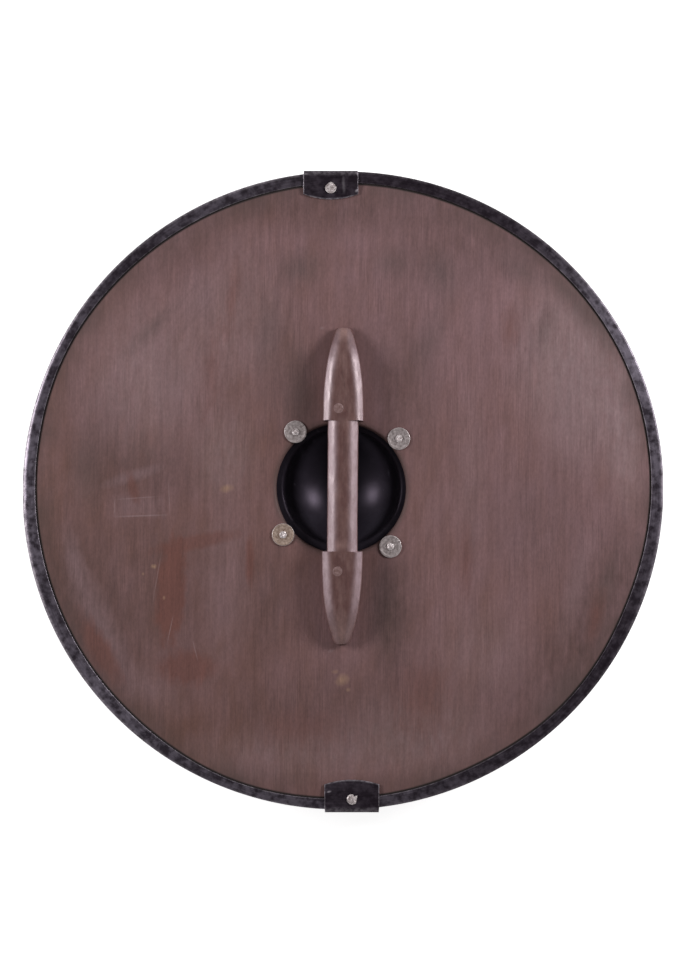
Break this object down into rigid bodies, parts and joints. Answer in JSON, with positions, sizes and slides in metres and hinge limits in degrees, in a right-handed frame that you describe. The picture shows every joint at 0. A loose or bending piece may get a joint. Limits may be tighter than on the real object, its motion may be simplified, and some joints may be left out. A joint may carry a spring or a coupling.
{
  "type": "wooden round shield",
  "caption": "Flat round wooden shield with an iron boss, a steel-bound rim and a carved wooden hand grip, lying on its boss with the grip side up.",
  "frame": {"origin": "on the ground under the middle of the board, with the shield lying on its boss", "axes": "+Z out of the grip side, +Y along the grip towards the top clip, +X to the right seen from the grip side"},
  "size_m": [0.7596, 0.764, 0.0906],
  "materials": {
    "wood_board": "mauve-brown stain over vertical grain, matt and worn",
    "wood_grip": "the same stain rubbed thin, satin",
    "black_boss": "satin black enamel",
    "black_steel": "blackened and hammered, worn bright on the edges",
    "bare_steel": "bare, peened, slightly rusted"
  },
  "bodies": {
    "root": {"board": "wood_board", "grip": "wood_grip", "boss": "black_boss", "rim_left": "black_steel", "rim_right": "black_steel", "clip_top": "black_steel", "clip_bottom": "black_steel", "clip_rivet_top": "bare_steel", "clip_rivet_bottom": "bare_steel", "boss_rivet_1": "bare_steel", "boss_rivet_2": "bare_steel", "boss_rivet_3": "bare_steel", "boss_rivet_4": "bare_steel", "boss_washer_1": "bare_steel", "boss_washer_2": "bare_steel", "boss_washer_3": "bare_steel", "boss_washer_4": "bare_steel", "grip_rivet_top": "bare_steel", "grip_rivet_bottom": "bare_steel"}
  },
  "joints": []
}
